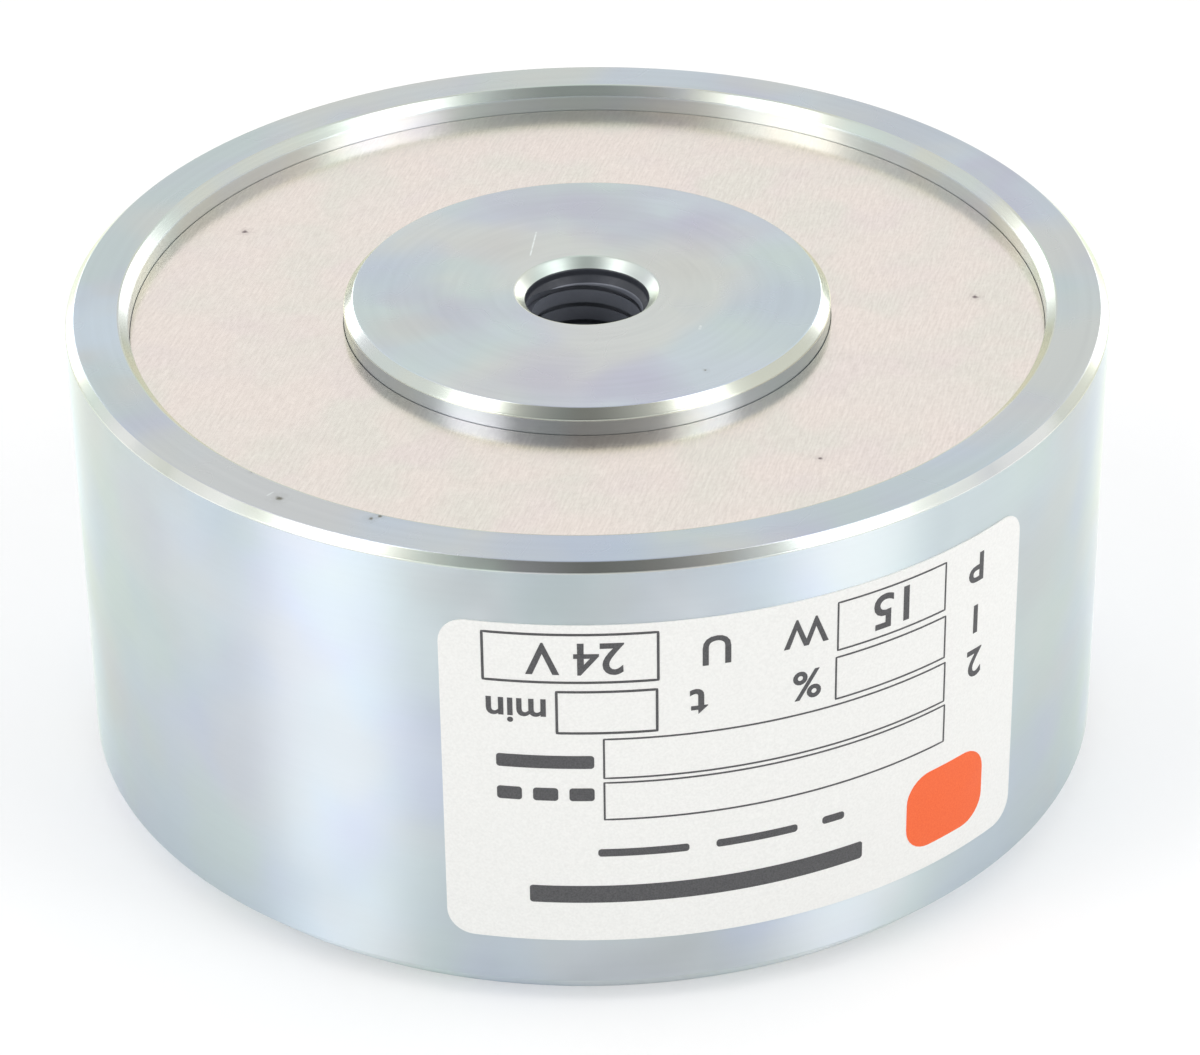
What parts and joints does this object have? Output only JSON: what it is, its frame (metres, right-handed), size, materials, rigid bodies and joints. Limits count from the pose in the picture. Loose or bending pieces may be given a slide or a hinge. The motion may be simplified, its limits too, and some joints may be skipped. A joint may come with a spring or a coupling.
{
  "type": "holding electromagnet",
  "caption": "Round pot electromagnet: a steel cup and threaded centre pole round a sealed coil, which grips a steel plate on its flat pole face.",
  "frame": {"origin": "centre of the mounting face, which the magnet stands on", "axes": "+Z along the body's axis, out of the pole face; -Y through the middle of the rating label; +Y through the lead exit"},
  "size_m": [0.08, 0.0807, 0.038],
  "materials": {
    "zinc_steel_pot": "bluish bright zinc plating over a fine turned surface",
    "zinc_steel_core": "bluish bright zinc plating over a fine turned surface",
    "fibre_washer": "pressed fibre",
    "former_plastic": "moulded, matt",
    "enamelled_wire": "enamelled copper wire",
    "winding_tape": "smooth insulating tape",
    "wire_sleeving": "woven sleeving",
    "tag_brass": "tinned brass strip",
    "sponge_rubber": "closed-cell sponge",
    "cover_sheet": "satin sheet, brushed one way, pinkish beige",
    "grommet_rubber": "moulded, satin",
    "label_film": "white printed film"
  },
  "bodies": {
    "root": {"pot_shell": "zinc_steel_pot", "pole_core": "zinc_steel_core", "base_insulator": "fibre_washer", "coil_former": "former_plastic", "coil_winding": "enamelled_wire", "winding_tape": "winding_tape", "start_sleeve": "wire_sleeving", "start_tag": "tag_brass", "finish_tag": "tag_brass", "pressure_ring": "sponge_rubber", "cover_plate": "cover_sheet", "lead_grommet": "grommet_rubber", "rating_label": "label_film"}
  },
  "joints": []
}
